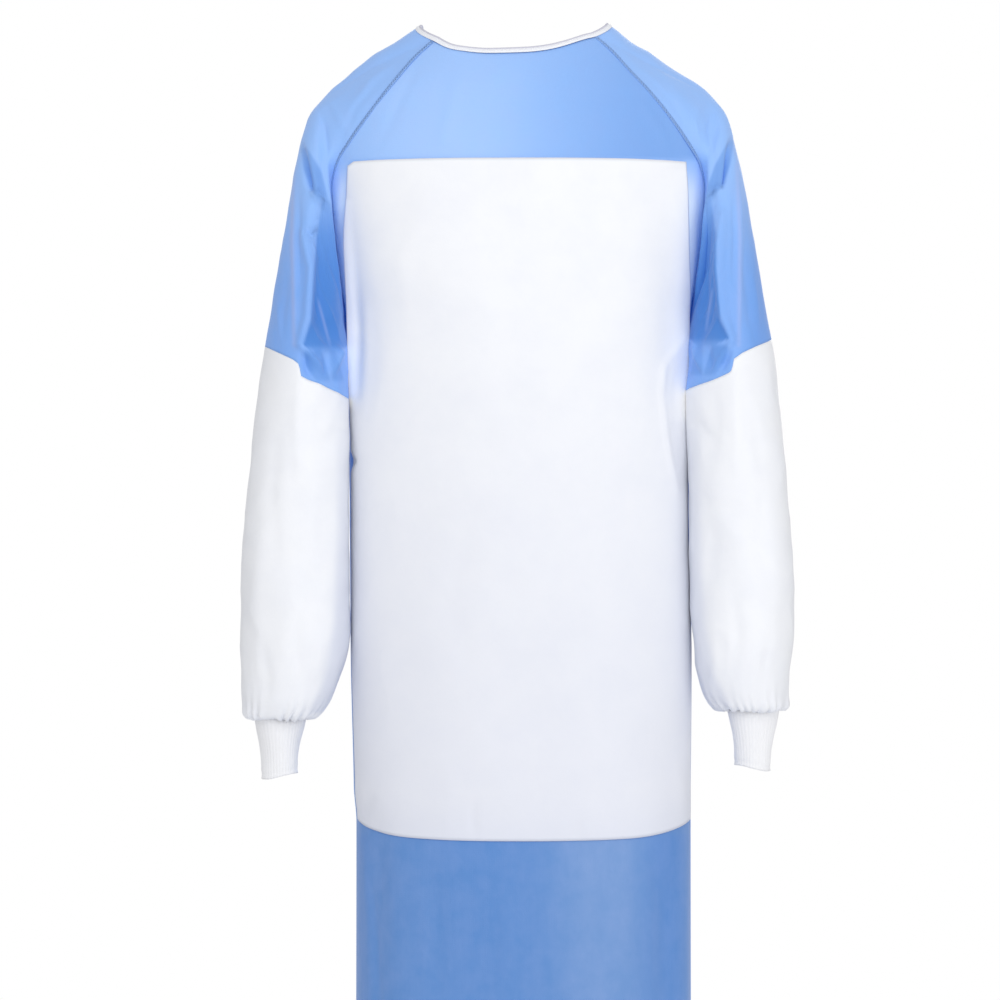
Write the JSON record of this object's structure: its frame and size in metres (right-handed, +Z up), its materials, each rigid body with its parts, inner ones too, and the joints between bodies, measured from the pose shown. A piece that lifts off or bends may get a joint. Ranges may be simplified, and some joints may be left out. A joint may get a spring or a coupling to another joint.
{
  "type": "surgical gown",
  "caption": "Long-sleeved surgical gown in worn form, hollow, with a front reinforcement panel, raglan sleeves, knit cuffs, a bound neck and back waist ties.",
  "frame": {"origin": "where the wearer's shoulders hold the gown, level with the ends of the neck opening, on its centre line", "axes": "+Z up, the front faces -Y, the sleeve at +X is on the right of a front view"},
  "size_m": [0.6216, 0.2662, 1.2284],
  "materials": {
    "blue_cloth": "matte nonwoven",
    "white_cloth": "smooth matte laminate",
    "knit": "ribbed knit",
    "binding": "folded nonwoven strip",
    "tie_cloth": "folded nonwoven strip"
  },
  "bodies": {
    "root": {"front": "blue_cloth", "back_left": "blue_cloth", "back_right": "blue_cloth", "sleeve_left": "blue_cloth", "sleeve_right": "blue_cloth", "front_panel": "white_cloth", "forearm_left": "white_cloth", "forearm_right": "white_cloth", "cuff_left": "knit", "cuff_right": "knit", "neck_binding": "binding", "neck_tab": "white_cloth", "tie_left": "tie_cloth", "tie_right": "tie_cloth", "tie_knot": "tie_cloth", "tie_tail_left": "tie_cloth", "tie_tail_right": "tie_cloth"}
  },
  "joints": []
}
